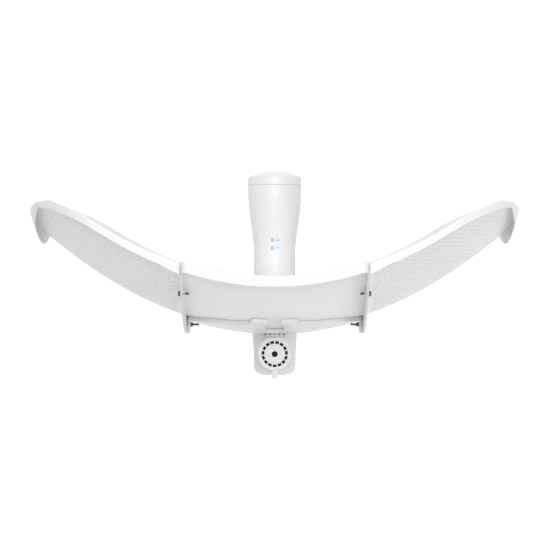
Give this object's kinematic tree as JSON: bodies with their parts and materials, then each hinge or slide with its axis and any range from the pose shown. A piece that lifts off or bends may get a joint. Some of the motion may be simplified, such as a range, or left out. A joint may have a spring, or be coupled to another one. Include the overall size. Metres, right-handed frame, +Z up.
{
  "type": "outdoor wireless bridge",
  "caption": "Directional wireless bridge: wide parabolic reflector with two perforated wings, flared feed tube through its centre, rear housing with azimuth dial and a tilting pole clamp.",
  "frame": {"origin": "on the pole's axis, at the pole's top end, where the half-round seat stops it", "axes": "+Z up along the pole, +Y along the boresight (the way the feed points), +X across the wings"},
  "size_m": [0.576, 0.2527, 0.416],
  "materials": {
    "powder_coated_steel": "white powder coat",
    "perforated_steel": "white powder coat over perforated sheet",
    "white_plastic": "fine satin moulding",
    "dark_zinc": "blackened zinc plate",
    "stainless": "brushed stainless steel",
    "black_steel": "black oxide",
    "tinned_steel": "tin plate",
    "radiator_brass": "flash plated",
    "circuit_board": "solder mask",
    "flex_circuit": "polyimide film",
    "light_guide": "clear blue moulding",
    "dark_plastic": "satin",
    "cast_grey": "powder coated casting",
    "acetal": "smooth",
    "seal_rubber": "soft matt"
  },
  "bodies": {
    "pole_mount": {"pole_bracket": "cast_grey", "elevation_bolt": "stainless", "elevation_nut": "stainless", "elevation_washers": "acetal", "clamp_bands": "stainless", "clamp_housings": "stainless"},
    "upper_screw": {"upper_clamp_screw": "stainless"},
    "lower_screw": {"lower_clamp_screw": "stainless"},
    "swivel": {"swivel_column": "cast_grey", "swivel_washer": "acetal", "swivel_seal": "seal_rubber", "retaining_washer": "black_steel", "swivel_bolt": "black_steel", "azimuth_dial": "white_plastic"},
    "latch": {"feed_latch": "white_plastic"},
    "reset": {"reset_button": "dark_plastic"},
    "cover": {"port_cover": "white_plastic"},
    "antenna": {"centre_panel": "powder_coated_steel", "left_panel": "perforated_steel", "right_panel": "perforated_steel", "panel_bolts": "dark_zinc", "panel_nuts": "dark_zinc", "clinch_nuts": "powder_coated_steel", "rear_housing": "white_plastic", "bracket_rivets": "powder_coated_steel", "feed_tube": "white_plastic", "feed_cap": "white_plastic", "cap_seal": "seal_rubber", "tube_gasket": "seal_rubber", "main_board": "circuit_board", "shield_cans": "tinned_steel", "feed_radiator": "radiator_brass", "splash_plate": "tinned_steel", "light_guides": "light_guide", "link_flex": "flex_circuit", "port_board": "circuit_board", "ethernet_jack": "tinned_steel", "port_hinge_pin": "stainless"}
  },
  "joints": [
    {"name": "elevation", "type": "hinge", "parent": "pole_mount", "child": "swivel", "pos_m": [0, 0, 0.028], "axis": [1, 0, 0], "range_deg": [-10, 15]},
    {"name": "azimuth", "type": "hinge", "parent": "swivel", "child": "antenna", "pos_m": [0, 0, 0.084], "axis": [0, 0, 1], "range_deg": [-12, 12]},
    {"name": "latch_press", "type": "slide", "parent": "antenna", "child": "latch", "axis": [0, 0, -1], "range_m": [0, 0.0024], "stiffness_N_per_m": 900, "springref_m": -0.002},
    {"name": "reset_press", "type": "slide", "parent": "antenna", "child": "reset", "axis": [0, 0, 1], "range_m": [0, 0.0009], "stiffness_N_per_m": 900, "springref_m": -0.0008},
    {"name": "port_cover_hinge", "type": "hinge", "parent": "antenna", "child": "cover", "pos_m": [-0.0112, -0.0188, 0.0582], "axis": [0, 1, 0], "range_deg": [0, 100]},
    {"name": "upper_screw_turn", "type": "hinge", "parent": "pole_mount", "child": "upper_screw", "pos_m": [0, 0.0282, -0.034], "axis": [1, 0, 0], "continuous": true},
    {"name": "lower_screw_turn", "type": "hinge", "parent": "pole_mount", "child": "lower_screw", "pos_m": [0, 0.0282, -0.07], "axis": [1, 0, 0], "continuous": true}
  ]
}
